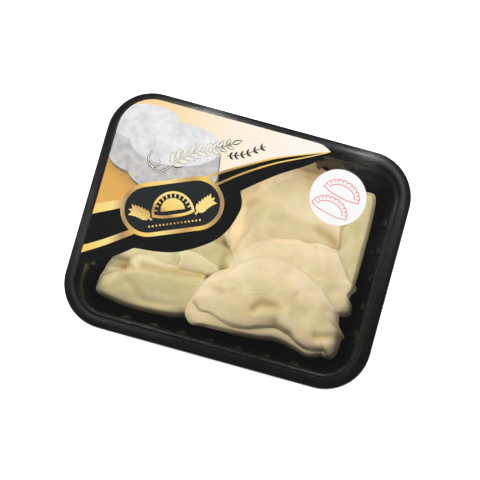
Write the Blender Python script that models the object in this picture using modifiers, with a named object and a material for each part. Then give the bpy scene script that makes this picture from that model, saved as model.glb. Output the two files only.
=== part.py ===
"""Sealed tray of pierogi: a ribbed black tray, eight half-moon dumplings that lie on one another, a clear
lid film, a printed label and a round sticker.

Run it with: blender --background --python part.py
The driving sizes below are in millimetres and MM turns them into Blender's metres. The origin is the middle
of the tray's foot, +X runs along its long side, +Y to the back and +Z up.
"""

import math

import bmesh
import bpy
import numpy as np

MM = 0.001

# The tray, measured over its flange. Insets are taken from the flange's outer edge.
TRAY_LENGTH = 190.0
TRAY_WIDTH = 148.0
TRAY_HEIGHT = 45.0
TRAY_CORNER = 28.0
TRAY_WALL = 0.8
FLANGE_INSET = 6.8
LEAST_CORNER = 6.0
CORNER_STEPS = 6

# Upright ribs that stiffen the tray's walls.
RIB_PITCH = 17.5
RIB_DEPTH = 1.6
RIB_FOOT = 7.0
RIB_CREST = 3.0
LONG_SIDE_RIBS = 7
SHORT_SIDE_RIBS = 5

# The tray's inner surface from the lip to the middle: inset, height and how much of a rib stands there.
TRAY_PROFILE = (
    (0.0, TRAY_HEIGHT - 3.0, 0.0),
    (0.4, TRAY_HEIGHT - 0.5, 0.0),
    (1.2, TRAY_HEIGHT, 0.0),
    (FLANGE_INSET, TRAY_HEIGHT, 0.0),
    (7.5, TRAY_HEIGHT - 2.6, 0.0),
    (9.8, TRAY_HEIGHT - 3.0, 0.0),
    (10.6, TRAY_HEIGHT - 6.0, 0.0),
    (11.3, TRAY_HEIGHT - 9.0, 1.0),
    (15.6, 10.0, 1.0),
    (17.2, 4.6, 0.3),
    (20.5, TRAY_WALL + 0.6, 0.0),
    (23.5, TRAY_WALL, 0.0),
    (27.5, TRAY_WALL, 0.0),
    (29.0, TRAY_WALL + 1.4, 0.0),
)

# The film and what is stuck on it. GAP keeps pieces that touch from overlapping.
GAP = 0.2
FILM_THICKNESS = 0.2
FILM_INSET = 0.8
LABEL_THICKNESS = 0.2
STICKER_RADIUS = 17.2
STICKER_CENTRE = (51.4, 40.7)

# What all dumplings share: the pressed rim, how the folded side rises and the mesh. An edge lower than
# LYING_EDGE belongs to a dumpling that lies on others, and hangs down onto them.
RIM_THICKNESS = 2.4
RIM_EDGE = 0.7
RIM_TAPER = 6.0
LEAST_THICKNESS = 1.4
FOLD_UNDERCUT = 5.0
FOLD_SQUARENESS = 3.6
FOLD_FULLNESS = 2.3
LYING_EDGE = 8.0
LYING_RISE = 0.85
RESTING_RISE = 0.5
SAG_REACH = 8.0
SAG_MOST = 2.0
TIP_FALL = 0.3
MIDDLE_SHARE = 0.36
SPINE_SHARE = 0.42
SEGMENTS = 40
LATITUDES = 10
OUTER_STEP = 1.2

# Each dumpling, from the lowest to the one on top: the middle of its folded side, the turn of its rim from
# +Y, its length and its depth from fold to rim, how far the fold bulges, its height, the height of the
# fold's edge, its rim's width, how round the rim's curve is (2 is an ellipse), how high its top may come
# under the film and a number that varies its lumps.
PIEROGI = {
    "pierog_lower_left": ((-33.0, -21.0), 4.0, 83.0, 42.0, 7.0, 40.0, 14.0, 9.0, 2.1, 38.5, 13),
    "pierog_lower_back": ((-38.0, 50.0), 181.0, 78.0, 36.0, 5.0, 25.0, 10.0, 10.0, 2.0, 33.0, 21),
    "pierog_left": ((-35.0, -47.5), 0.0, 84.0, 36.5, 7.0, 29.0, 10.5, 12.0, 2.5, 40.0, 8),
    "pierog_right": ((69.0, 14.0), 90.0, 76.0, 40.0, 6.6, 42.0, 22.0, 10.0, 2.0, 38.0, 5),
    "pierog_lower_front": ((27.0, -46.0), 2.0, 94.0, 37.0, 8.5, 34.0, 12.0, 9.0, 1.6, 38.0, 3),
    "pierog_back": ((33.0, 17.5), 47.0, 90.0, 45.0, 14.0, 24.0, 1.0, 8.0, 1.6, 39.0, 34),
    "pierog_middle": ((37.5, -25.0), 5.0, 82.0, 37.5, 6.0, 24.0, 0.6, 4.5, 2.2, 40.0, 55),
    "pierog_front": ((29.3, -42.0), -3.0, 94.5, 40.0, 7.0, 16.5, 0.6, 9.0, 1.7, 43.5, 89),
}

# Where a folded side swells out (or in, below 0): distance along the fold, how wide and how far.
FOLD_WAVES = {
    "pierog_front": (
        (-42.0, 5.0, 3.0),
        (-18.0, 13.0, 3.0),
        (-2.0, 5.0, -2.0),
        (7.0, 5.0, -4.5),
        (15.0, 5.0, -2.5),
        (30.0, 8.0, 3.2),
        (45.0, 4.0, 6.0),
    ),
    "pierog_left": ((-12.0, 14.0, 1.0), (18.0, 8.0, -2.0)),
    "pierog_lower_front": (
        (-42.0, 5.0, 2.0),
        (10.0, 10.0, -2.0),
        (32.0, 7.0, 3.0),
        (45.0, 4.0, 5.0),
    ),
    "pierog_back": ((14.5, 6.5, 11.0),),
}

# Where a rim stands out (or in): its bearing and how wide, in degrees, and how far.
RIM_WAVES = {
    "pierog_middle": ((20.0, 5.0, 2.5), (9.0, 4.0, -2.5), (58.0, 12.0, 2.5)),
    "pierog_lower_front": ((13.0, 4.0, 1.6), (25.0, 5.0, -1.0)),
    "pierog_right": ((28.0, 5.0, -1.5), (15.0, 6.0, 1.0)),
    "pierog_back": ((48.0, 12.0, 2.5),),
    "pierog_front": ((13.0, 3.5, 2.4), (21.0, 4.0, -1.2), (140.0, 8.0, -2.0)),
}

# Hollows in a dumpling's top: a line's two ends in the tray, how wide and how deep.
HOLLOWS = {
    "pierog_front": (
        (20.5, -36.5, 31.0, -33.0, 3.5, 2.2),
        (34.0, -41.5, 45.0, -46.5, 3.0, 1.8),
        (61.0, -43.5, 76.0, -39.0, 3.0, 1.8),
    ),
    "pierog_left": ((-51.0, -29.0, -15.0, -25.3, 3.0, 1.2), (-71.0, -38.0, -49.0, -48.0, 3.0, 1.0)),
    "pierog_back": ((48.0, 17.5, 56.0, 17.5, 4.0, 3.4),),
}

# The grid on which the dumplings are laid, how far one bridges what lies under it, and how its top closes up
# under the film over its last CROWDED_ROOM of height.
CELL = 1.0
DRAPE_BLUR = 2.4
BELLY_ROUNDS = 30
RIM_ROUNDS = 14
EASE_ROUNDS = 3
WALL_REACH = 12.0
CLEARANCE = 0.6
LIFT_ROUNDS = 6
CROWDED_ROOM = 12.0

TRAY_BLACK = (0.012, 0.013, 0.012, 1.0)
DOUGH_CREAM = (0.74, 0.65, 0.38, 1.0)
FILM_CLEAR = (0.9, 0.9, 0.9, 1.0)
LABEL_BLACK = (0.012, 0.015, 0.017, 1.0)
STICKER_WHITE = (0.95, 0.95, 0.95, 1.0)


def clear_scene():
    for item in list(bpy.data.objects):
        bpy.data.objects.remove(item)


def material(name, colour, roughness, metallic=0.0):
    made = bpy.data.materials.new(name)
    made.use_nodes = True
    shader = made.node_tree.nodes["Principled BSDF"]
    shader.inputs["Base Color"].default_value = colour
    shader.inputs["Roughness"].default_value = roughness
    shader.inputs["Metallic"].default_value = metallic
    return made


def add_object(name, data, finish, collection):
    made = bpy.data.objects.new(name, data)
    made.data.materials.append(finish)
    collection.objects.link(made)
    return made


# ---------------------------------------------------------------- the tray


def quarter_side(half, ribs, depth_share):
    """Places along one straight half side, from its middle: (distance, how far the rib stands in)."""
    places = [(0.0, depth_share), (RIB_CREST / 2, depth_share), (RIB_FOOT / 2, 0.0)]
    for rib in range(1, ribs // 2 + 1):
        centre = rib * RIB_PITCH
        places += [
            (centre - RIB_FOOT / 2, 0.0),
            (centre - RIB_CREST / 2, depth_share),
            (centre + RIB_CREST / 2, depth_share),
            (centre + RIB_FOOT / 2, 0.0),
        ]
    return [(min(distance, half), share * RIB_DEPTH) for distance, share in places]


def quarter_ring(inset, height, rib_share):
    """One level of the tray's quarter with x and y above 0, from the back's middle to the right's middle."""
    half_x = TRAY_LENGTH / 2 - inset
    half_y = TRAY_WIDTH / 2 - inset
    radius = max(TRAY_CORNER - inset, LEAST_CORNER)
    straight_x = half_x - radius
    straight_y = half_y - radius
    ring = [(d, half_y - rib, height) for d, rib in quarter_side(straight_x, LONG_SIDE_RIBS, rib_share)]
    for step in range(CORNER_STEPS + 1):
        angle = math.pi / 2 * (1 - step / CORNER_STEPS)
        ring.append((straight_x + radius * math.cos(angle), straight_y + radius * math.sin(angle), height))
    side = quarter_side(straight_y, SHORT_SIDE_RIBS, rib_share)
    ring += [(half_x - rib, d, height) for d, rib in reversed(side)]
    return ring


def build_tray(finish, collection):
    """A quarter of the inner surface, mirrored twice and thickened outwards."""
    shape = bmesh.new()
    rows = []
    for inset, height, rib_share in TRAY_PROFILE:
        ring = quarter_ring(inset, height, rib_share)
        rows.append([shape.verts.new([c * MM for c in point]) for point in ring])
    for outer, inner in zip(rows, rows[1:]):
        for i in range(len(outer) - 1):
            shape.faces.new((outer[i], inner[i], inner[i + 1], outer[i + 1]))
    middle = shape.verts.new((0.0, 0.0, rows[-1][0].co.z))
    shape.faces.new([middle, *reversed(rows[-1])])
    bmesh.ops.remove_doubles(shape, verts=shape.verts, dist=0.01 * MM)
    for face in shape.faces:
        face.normal_update()
    mesh = bpy.data.meshes.new("tray")
    shape.to_mesh(mesh)
    shape.free()
    tray = add_object("tray", mesh, finish, collection)
    mirror = tray.modifiers.new("four quarters", "MIRROR")
    mirror.use_axis = (True, True, False)
    mirror.merge_threshold = 0.02 * MM
    flat = tray.modifiers.new("join flat faces", "DECIMATE")
    flat.decimate_type = "DISSOLVE"
    flat.angle_limit = math.radians(0.4)
    wall = tray.modifiers.new("wall", "SOLIDIFY")
    wall.thickness = TRAY_WALL * MM
    wall.offset = -1.0
    wall.use_even_offset = True
    return tray


# ---------------------------------------------------------------- film, label and sticker


def rounded_rectangle(inset, steps=8):
    """The tray's outline moved in by inset, as points anticlockwise."""
    half_x = TRAY_LENGTH / 2 - inset
    half_y = TRAY_WIDTH / 2 - inset
    radius = TRAY_CORNER - inset
    points = []
    for corner, (sign_x, sign_y) in enumerate(((1, 1), (-1, 1), (-1, -1), (1, -1))):
        for step in range(steps + 1):
            angle = math.pi / 2 * (corner + step / steps)
            x = sign_x * (half_x - radius) + radius * math.cos(angle)
            y = sign_y * (half_y - radius) + radius * math.sin(angle)
            points.append((x, y))
    return points


def flat_piece(name, points, bottom, thickness, finish, collection):
    """A thin flat piece cut to an outline, as a filled 2D curve."""
    outline = bpy.data.curves.new(name, "CURVE")
    outline.dimensions = "2D"
    outline.fill_mode = "BOTH"
    outline.extrude = thickness / 2 * MM
    spline = outline.splines.new("POLY")
    spline.points.add(len(points) - 1)
    for point, (x, y) in zip(spline.points, points):
        point.co = (x * MM, y * MM, 0.0, 1.0)
    spline.use_cyclic_u = True
    made = add_object(name, outline, finish, collection)
    made.location.z = (bottom + thickness / 2) * MM
    return made


def smooth_through(corners, steps=6):
    """Points on a Catmull-Rom curve through the given places, ends included."""
    places = [np.array(p, float) for p in corners]
    places = [2 * places[0] - places[1], *places, 2 * places[-1] - places[-2]]
    points = []
    for before, start, end, after in zip(places, places[1:], places[2:], places[3:]):
        for step in range(steps):
            s = step / steps
            bend = 2 * before - 5 * start + 4 * end - after
            twist = 3 * (start - end) + after - before
            points.append(tuple(start + 0.5 * s * (end - before + s * (bend + s * twist))))
    return points + [tuple(places[-2])]


# The label covers the back left corner. Its free edge sags round the plaque and ends in a point on the right.
LABEL_LEFT = -88.8
LABEL_BACK = 69.6
LABEL_CORNER = 21.5
LABEL_TIP = (39.8, 66.4)
LABEL_FREE_EDGE = (
    (LABEL_TIP, (31.0, 56.5), (12.0, 43.8), (-6.5, 28.7)),
    ((-6.5, 28.7), (-3.3, 17.5), (-11.5, -2.5), (-34.0, -17.5), (-59.0, -21.8)),
    ((-59.0, -21.8), (-71.0, -31.0), (LABEL_LEFT, -41.0)),
)


def label_outline():
    points = []
    for stretch in LABEL_FREE_EDGE:
        points += smooth_through(stretch)[:-1]
    points.append(LABEL_FREE_EDGE[-1][-1])
    for step in range(9):
        angle = math.pi - math.pi / 2 * step / 8
        x = LABEL_LEFT + LABEL_CORNER + LABEL_CORNER * math.cos(angle)
        y = LABEL_BACK - LABEL_CORNER + LABEL_CORNER * math.sin(angle)
        points.append((x, y))
    points += [(31.0, LABEL_BACK), (34.0, 69.3), (36.6, 68.3), (38.6, 67.2)]
    return points[::-1]


def circle_outline(centre, radius, steps=40):
    angles = [math.tau * step / steps for step in range(steps)]
    return [(centre[0] + radius * math.cos(a), centre[1] + radius * math.sin(a)) for a in angles]


# ---------------------------------------------------------------- the dumplings


class Pierog:
    """A round of dough folded over its filling and pressed shut: a half moon with a thin rim on its curve.

    Its own frame has u along the fold and v towards the rim. A place on it is given by its bearing, which
    runs round the outline from the tip on +u by way of the rim, and by its distance in from the outline.
    """

    def __init__(
        self, name, place, turn, length, depth, bulge, height, edge, rim, roundness, ceiling, variety
    ):
        self.name = name
        self.place = place
        self.turn = math.radians(turn)
        self.length, self.depth, self.bulge = length, depth, bulge
        self.height, self.edge, self.ceiling = height, edge, ceiling
        self.rim, self.roundness, self.variety = rim, roundness, variety
        self.waves = FOLD_WAVES.get(name, ())
        self.rim_waves = RIM_WAVES.get(name, ())
        self.hollows = HOLLOWS.get(name, ())

    def outline(self, bearing):
        """The outline's (u, v): a rounded half moon, made a little uneven."""
        cos, sin = np.cos(bearing), np.sin(bearing)
        squareness = np.where(sin > 0, self.roundness, FOLD_SQUARENESS)
        u = self.length / 2 * np.sign(cos) * np.abs(cos) ** (2 / squareness)
        v = np.where(sin > 0, self.depth, -self.bulge) * np.abs(sin) ** (2 / squareness)
        for where, width, amount in self.waves:
            bump = amount * np.exp(-(((u - where) / width) ** 2))
            v = v - bump * np.where(sin < 0, np.abs(sin) ** 0.5, 0.0)
        uneven = 0.012 * np.sin(3 * bearing + self.variety) + 0.010 * np.sin(5 * bearing + 2.1 * self.variety)
        wave = np.zeros(np.shape(bearing))
        for where, width, amount in self.rim_waves:
            wave = wave + amount * np.exp(-(((np.degrees(bearing) - where) / width) ** 2))
        middle = MIDDLE_SHARE * self.depth
        grow = 1 + uneven + wave / np.hypot(u, v - middle)
        return u * grow, middle + (v - middle) * grow

    def evenly(self, around):
        """The bearings of places spaced evenly along the outline, from their share of a full turn."""
        dense = np.linspace(-math.pi, math.pi, 721)
        u, v = self.outline(dense)
        run = np.concatenate([[0.0], np.cumsum(np.hypot(np.diff(u), np.diff(v)))])
        return np.interp((around / math.tau + 0.5) * run[-1], run, dense)

    def rim_share(self, v):
        """1 where the edge is pressed flat, 0 along the fold."""
        return smooth_step((v - 0.10 * self.depth) / (0.35 * self.depth))

    def spot(self, bearing, inward):
        """(u, v) at a distance in from the outline, on the way to the spine, and that way's whole length."""
        u, v = self.outline(bearing)
        to_u = SPINE_SHARE * u - u
        to_v = MIDDLE_SHARE * self.depth - v
        whole = np.hypot(to_u, to_v)
        share = np.clip(inward / whole, 0.0, 1.0)
        return u + to_u * share, v + to_v * share, whole

    def unevenness(self, u, v):
        """Lumps of the filling under the dough and the hollows in it, in millimetres."""
        n = self.variety
        lumps = 0.5 * np.sin(u / 9.0 + n) * np.cos(v / 7.0 - 2 * n) + 0.3 * np.sin(u / 5.2 - v / 6.1 + 3 * n)
        x, y = self.in_tray(u, v)
        for x0, y0, x1, y1, width, depth in self.hollows:
            square = (x1 - x0) ** 2 + (y1 - y0) ** 2
            along = np.clip(((x - x0) * (x1 - x0) + (y - y0) * (y1 - y0)) / square, 0, 1)
            off = np.hypot(x - x0 - along * (x1 - x0), y - y0 - along * (y1 - y0))
            lumps = lumps - depth * np.exp(-((off / width) ** 2))
        return lumps

    def heights(self, bearing, inward):
        """Height of the underside and of the top over what the dumpling lies on, and the rim's share."""
        _, edge_v = self.outline(bearing)
        pressed = self.rim_share(edge_v)
        u, v, whole = self.spot(bearing, inward)
        height = self.height * (1 - TIP_FALL * np.clip(np.abs(u) / (self.length / 2), 0, 1) ** 4)
        edge = self.edge * (1 - pressed) + RIM_EDGE / 2 * pressed
        under = edge * (1 - np.clip(inward / FOLD_UNDERCUT, 0, 1)) ** 2.2 * (1 - pressed)
        under = under + pressed * RIM_EDGE / 2 * (inward <= 0)
        seam = self.rim * pressed
        share = np.clip((inward - seam) / (whole - seam), 0.0, 1.0)
        rise = LYING_RISE if self.edge < LYING_EDGE else RESTING_RISE
        from_fold = (1 - (1 - share) ** FOLD_FULLNESS) ** rise
        from_rim = np.sin(math.pi / 2 * share**0.8) ** 1.1
        dome = from_fold + (from_rim - from_fold) * pressed
        taper = (RIM_THICKNESS - RIM_EDGE) * smooth_step(inward / RIM_TAPER)
        rim_top = pressed * (RIM_EDGE / 2 * (inward > 0) + taper)
        top = edge + rim_top + (height - edge - rim_top) * dome
        rim_only = pressed * (1 - np.clip((inward - 0.4 * self.rim) / (0.7 * self.rim), 0, 1))
        return under, top, self.unevenness(u, v) * dome, rim_only

    def in_tray(self, u, v):
        cos, sin = math.cos(self.turn), math.sin(self.turn)
        return self.place[0] + u * cos - v * sin, self.place[1] + u * sin + v * cos


def smooth_step(share):
    share = np.clip(share, 0.0, 1.0)
    return share * share * (3 - 2 * share)


def tray_inside(x, y):
    """Height of the tray's inner surface, clear of its ribs."""
    half_x, half_y = TRAY_LENGTH / 2, TRAY_WIDTH / 2
    dx = np.maximum(np.abs(x) - (half_x - TRAY_CORNER), 0.0)
    dy = np.maximum(np.abs(y) - (half_y - TRAY_CORNER), 0.0)
    inset = np.minimum(half_x - np.abs(x), half_y - np.abs(y))
    inset = np.where((dx > 0) & (dy > 0), TRAY_CORNER - np.hypot(dx, dy), inset)
    within = [step for step in TRAY_PROFILE if step[0] >= FLANGE_INSET]
    return np.interp(inset - RIB_DEPTH, [step[0] for step in within], [step[1] for step in within])


class Pile:
    """The free surface of what already lies in the tray, as heights on a grid."""

    def __init__(self):
        self.xs = np.arange(-TRAY_LENGTH / 2, TRAY_LENGTH / 2 + CELL / 2, CELL)
        self.ys = np.arange(-TRAY_WIDTH / 2, TRAY_WIDTH / 2 + CELL / 2, CELL)
        x, y = np.meshgrid(self.xs, self.ys, indexing="ij")
        self.top = tray_inside(x, y)

    def draped(self, rounds):
        """A skin over the surface: each round lets it bridge hollows a little further."""
        reach = math.ceil(3 * DRAPE_BLUR / CELL)
        weights = np.exp(-0.5 * (np.arange(-reach, reach + 1) * CELL / DRAPE_BLUR) ** 2)
        weights /= weights.sum()
        inside = tray_inside(*np.meshgrid(self.xs, self.ys, indexing="ij")) < WALL_REACH
        floor = np.where(inside, self.top, np.minimum(self.top, WALL_REACH))
        skin = floor
        for k in range(rounds + EASE_ROUNDS):
            wide = np.pad(skin, reach, mode="edge")
            wide = np.apply_along_axis(np.convolve, 0, wide, weights, "valid")
            wide = np.apply_along_axis(np.convolve, 1, wide, weights, "valid")
            skin = np.maximum(floor, wide) if k < rounds else wide
        return skin

    def cover(self, points, triangles):
        """Adds facets to the surface, one cell wider than they are, as their sides may be steep."""
        for _, i, j, height, _ in self.cells_under(points, triangles):
            for beside in (-1, 0, 1):
                for behind in (-1, 0, 1):
                    cells = i + beside, j + behind
                    self.top[cells] = np.maximum(self.top[cells], height)

    def read(self, field, x, y):
        """Bilinear reading of a field of this grid."""
        i = np.clip((x - self.xs[0]) / CELL, 0, len(self.xs) - 1.001)
        j = np.clip((y - self.ys[0]) / CELL, 0, len(self.ys) - 1.001)
        i0, j0 = i.astype(int), j.astype(int)
        fi, fj = i - i0, j - j0
        low = field[i0, j0] * (1 - fi) + field[i0 + 1, j0] * fi
        high = field[i0, j0 + 1] * (1 - fi) + field[i0 + 1, j0 + 1] * fi
        return low * (1 - fj) + high * fj

    def cells_under(self, points, triangles):
        """Yields each triangle with the grid cells under it, its heights there and its corners' shares."""
        start = np.array((self.xs[0], self.ys[0]))
        for triangle in triangles:
            a, b, c = points[triangle]
            low = np.floor((points[triangle, :2].min(axis=0) - start) / CELL).astype(int)
            high = np.ceil((points[triangle, :2].max(axis=0) - start) / CELL).astype(int)
            i, j = np.mgrid[low[0] : high[0] + 1, low[1] : high[1] + 1]
            area = (b[0] - a[0]) * (c[1] - a[1]) - (c[0] - a[0]) * (b[1] - a[1])
            if abs(area) < 1e-9:
                continue
            x, y = self.xs[i], self.ys[j]
            wb = ((x - a[0]) * (c[1] - a[1]) - (c[0] - a[0]) * (y - a[1])) / area
            wc = ((b[0] - a[0]) * (y - a[1]) - (x - a[0]) * (b[1] - a[1])) / area
            under = (wb > -0.05) & (wc > -0.05) & (wb + wc < 1.05)
            if under.any():
                shares = np.stack([1 - wb - wc, wb, wc])[:, under]
                yield triangle, i[under], j[under], points[triangle, 2] @ shares, shares


def pressed_flat(height, ceiling):
    """Heights in the last CROWDED_ROOM below the ceiling close up, so that nothing passes it."""
    over = np.maximum(height - (ceiling - CROWDED_ROOM), 0.0)
    return np.minimum(height, ceiling - CROWDED_ROOM) + over * CROWDED_ROOM / (over + CROWDED_ROOM)


def sphere_for(name):
    """A UV sphere's mesh, with each point's angle around it and its latitude row, where row 0 is the top."""
    ball = bmesh.new()
    bmesh.ops.create_uvsphere(ball, u_segments=SEGMENTS, v_segments=LATITUDES, radius=1.0)
    bmesh.ops.triangulate(ball, faces=ball.faces)
    mesh = bpy.data.meshes.new(name)
    ball.to_mesh(mesh)
    ball.free()
    points = np.array([v.co for v in mesh.vertices])
    rows = np.rint(np.arccos(np.clip(points[:, 2], -1, 1)) * LATITUDES / math.pi).astype(int)
    return mesh, np.arctan2(points[:, 1], points[:, 0]), rows


def inward_of(pierog, bearing, rows):
    """Each latitude row's distance in from the outline. The equator is the outline itself."""
    _, edge_v = pierog.outline(bearing)
    whole = pierog.spot(bearing, 0.0)[2]
    seam = np.maximum(pierog.rim * pierog.rim_share(edge_v), 3.0)
    equator = LATITUDES // 2
    steps = (whole, seam + 0.6 * (whole - seam), seam + 0.25 * (whole - seam), seam, OUTER_STEP, 0.0)
    inward = np.zeros(len(rows))
    for row, distance in enumerate(steps):
        inward = np.where((rows == row) | (rows == 2 * equator - row), distance, inward)
    return inward


def lift_clear(points, triangles, pile, whole):
    """Lifts facets that dip into the pile: the corners nearest to the dip, or for good the whole facet."""
    lift = np.zeros(len(points))
    for triangle, i, j, height, shares in pile.cells_under(points, triangles):
        short = pile.top[i, j] + CLEARANCE - height
        worst = short.argmax()
        near = np.clip(shares[:, worst], 0.0, 1.0)
        reach = np.ones(3) if whole else near / (near @ near)
        lift[triangle] = np.maximum(lift[triangle], short[worst] * reach)
    points[:, 2] += lift


def lay_pierog(pierog, pile, finish, collection):
    """Drapes one dumpling over the pile and adds its top to the pile."""
    mesh, around, rows = sphere_for(pierog.name)
    bearing = pierog.evenly(around)
    equator = LATITUDES // 2
    inward = inward_of(pierog, bearing, rows)
    under, top, relief, rim_only = pierog.heights(bearing, inward)
    u, v, _ = pierog.spot(bearing, inward)
    poles = (rows == 0) | (rows == 2 * equator)
    u, v = np.where(poles, 0.0, u), np.where(poles, MIDDLE_SHARE * pierog.depth, v)
    x, y = pierog.in_tray(u, v)
    stiff = pile.read(pile.draped(BELLY_ROUNDS), x, y)
    soft = pile.read(pile.draped(RIM_ROUNDS), x, y)
    lowest = pile.read(pile.top, x, y) + CLEARANCE
    base = stiff + (soft - stiff) * rim_only + CLEARANCE
    if pierog.edge < LYING_EDGE:
        fold = 1 - pierog.rim_share(pierog.outline(bearing)[1])
        hanging = fold * np.clip(1 - inward / SAG_REACH, 0, 1) ** 1.5
        base = base - hanging * np.clip(base - lowest, 0, SAG_MOST)
    bottom = np.minimum(base + under, pierog.ceiling - LEAST_THICKNESS)
    points = np.stack([x, y, np.maximum(bottom, lowest)], axis=1)
    triangles = np.array([p.vertices for p in mesh.polygons])
    lower = triangles[(rows[triangles] >= equator).all(axis=1)]
    upper = triangles[(rows[triangles] <= equator).all(axis=1)]
    for _ in range(LIFT_ROUNDS):
        lift_clear(points, lower, pile, False)
    lift_clear(points, lower, pile, True)
    # A point of the top goes with the point of the underside that has its angle and its row's mirror.
    key = np.rint(around * SEGMENTS / math.tau).astype(int) % SEGMENTS
    below = {(key[i], rows[i]): i for i in range(len(rows)) if not poles[i]}
    for i in range(len(rows)):
        if rows[i] < equator:
            mirror = np.argmax(rows) if poles[i] else below[key[i], 2 * equator - rows[i]]
            free_top = pressed_flat(base[i] + top[i], pierog.ceiling) + relief[i]
            points[i, 2] = max(free_top, points[mirror, 2] + LEAST_THICKNESS)
    pile.cover(points, upper)
    mesh.vertices.foreach_set("co", (points * MM).ravel())
    mesh.update()
    mesh.shade_smooth()
    return add_object(pierog.name, mesh, finish, collection)


# ---------------------------------------------------------------- the whole


def main():
    clear_scene()
    collection = bpy.data.collections.new("pierogi_tray")
    bpy.context.scene.collection.children.link(collection)
    plastic = material("black plastic", TRAY_BLACK, 0.25)
    dough = material("boiled dough", DOUGH_CREAM, 0.45)
    build_tray(plastic, collection)
    pile = Pile()
    for name, settings in PIEROGI.items():
        lay_pierog(Pierog(name, *settings), pile, dough, collection)
    film_bottom = TRAY_HEIGHT + GAP
    film_top = film_bottom + FILM_THICKNESS
    film = material("clear film", FILM_CLEAR, 0.1)
    flat_piece("film", rounded_rectangle(FILM_INSET), film_bottom, FILM_THICKNESS, film, collection)
    paper = material("printed label", LABEL_BLACK, 0.3)
    flat_piece("label", label_outline(), film_top + GAP, LABEL_THICKNESS, paper, collection)
    white = material("white sticker", STICKER_WHITE, 0.5)
    disc = circle_outline(STICKER_CENTRE, STICKER_RADIUS)
    flat_piece("sticker", disc, film_top + GAP, LABEL_THICKNESS, white, collection)


main()
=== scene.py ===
"""The looks of a sealed tray of pierogi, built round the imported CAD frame.

Sizes are millimetres, and MM turns them into Blender's metres. The origin is the middle of the tray's foot,
+X runs along its long side, +Y to the back and +Z up through the film.
"""

import math

import bpy
import numpy as np
from mathutils import Matrix, Vector


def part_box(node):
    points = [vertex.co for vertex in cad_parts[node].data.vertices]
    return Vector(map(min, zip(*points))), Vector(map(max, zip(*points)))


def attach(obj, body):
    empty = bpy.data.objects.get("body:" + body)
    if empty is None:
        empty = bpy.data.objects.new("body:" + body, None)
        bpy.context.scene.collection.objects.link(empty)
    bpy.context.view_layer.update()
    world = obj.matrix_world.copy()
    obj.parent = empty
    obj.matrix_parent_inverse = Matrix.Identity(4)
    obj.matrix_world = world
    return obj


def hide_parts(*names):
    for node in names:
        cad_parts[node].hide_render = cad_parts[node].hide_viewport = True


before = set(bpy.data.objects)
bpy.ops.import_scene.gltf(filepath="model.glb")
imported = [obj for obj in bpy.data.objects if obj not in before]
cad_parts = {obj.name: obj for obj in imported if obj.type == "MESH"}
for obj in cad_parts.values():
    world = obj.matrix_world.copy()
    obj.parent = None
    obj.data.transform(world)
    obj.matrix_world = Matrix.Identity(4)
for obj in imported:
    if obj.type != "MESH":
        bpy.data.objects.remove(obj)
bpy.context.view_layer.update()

# ------------------------------------------------------------------------------------------- the studio
# A pale floor under soft boxes at the sides, with nothing bright straight above, so that black plastic
# stays black where it faces up. The camera looks down at the tray a little from the front and the right.

MM = 0.001
RIM_CENTRE = Vector((0.0, 0.0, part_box("tray")[1][2]))
CAMERA_DISTANCE = 1.2
CAMERA_LENS = 149.4
LEAN_TO_FRONT = math.radians(7.0)
LEAN_TO_RIGHT = math.radians(2.2)
ROLL = math.radians(-15.63)
SIDESTEP = (1.235 * MM, -0.36 * MM)


def lean_axis(to_front, to_right):
    """The direction from the tray to the camera."""
    lean = math.hypot(to_front, to_right)
    around = math.atan2(to_right, to_front)
    aside = math.sin(lean)
    return Vector((math.sin(around) * aside, -math.cos(around) * aside, math.cos(lean)))


back = lean_axis(LEAN_TO_FRONT, LEAN_TO_RIGHT)
level_right = Vector((0.0, 1.0, 0.0)).cross(back).normalized()
level_up = back.cross(level_right)
right = math.cos(ROLL) * level_right - math.sin(ROLL) * level_up
up = math.sin(ROLL) * level_right + math.cos(ROLL) * level_up

camera = bpy.data.objects.new("camera", bpy.data.cameras.new("camera"))
bpy.context.scene.collection.objects.link(camera)
bpy.context.scene.camera = camera
camera.data.lens = CAMERA_LENS
camera.data.sensor_width = 36.0
camera.data.clip_start = 0.01
camera_place = RIM_CENTRE + back * CAMERA_DISTANCE + right * SIDESTEP[0] + up * SIDESTEP[1]
camera.matrix_world = Matrix.Translation(camera_place) @ Matrix((right, up, back)).transposed().to_4x4()


def settle(made, **values):
    """Sets a shader node's properties, or its inputs by their names with _ for a space."""
    for name, value in values.items():
        if hasattr(made, name):
            setattr(made, name, value)
        else:
            made.inputs[name.replace("_", " ")].default_value = value


def node(tree, kind, **values):
    """A new shader node with its properties and inputs."""
    made = tree.nodes.new(kind)
    settle(made, **values)
    return made


def join(tree, *links):
    """Links between nodes, each (from node, output, to node, input)."""
    for source, output, target, socket in links:
        tree.links.new(source.outputs[output], target.inputs[socket])


def soft_box(name, place, size, power):
    """A rectangular lamp that faces the tray."""
    lamp = bpy.data.lights.new(name, "AREA")
    lamp.shape = "RECTANGLE"
    lamp.size, lamp.size_y = size
    lamp.energy = power
    made = bpy.data.objects.new(name, lamp)
    bpy.context.scene.collection.objects.link(made)
    made.location = place
    made.rotation_euler = (RIM_CENTRE - made.location).to_track_quat("-Z", "Y").to_euler()
    return made


# Places and sizes are in metres, powers in watts. Two of the boxes light the tray and never show in it.
soft_box("soft_box_left", (-1.1, 0.5, 1.2), (1.0, 1.4), 11.0)
fill = soft_box("soft_box_right", (1.1, 0.5, 1.2), (1.0, 1.4), 7.0)
fill.visible_glossy = False
overhead = soft_box("soft_box_overhead", (-0.5, 0.6, 1.9), (1.2, 1.2), 25.5)
overhead.visible_glossy = False
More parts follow.
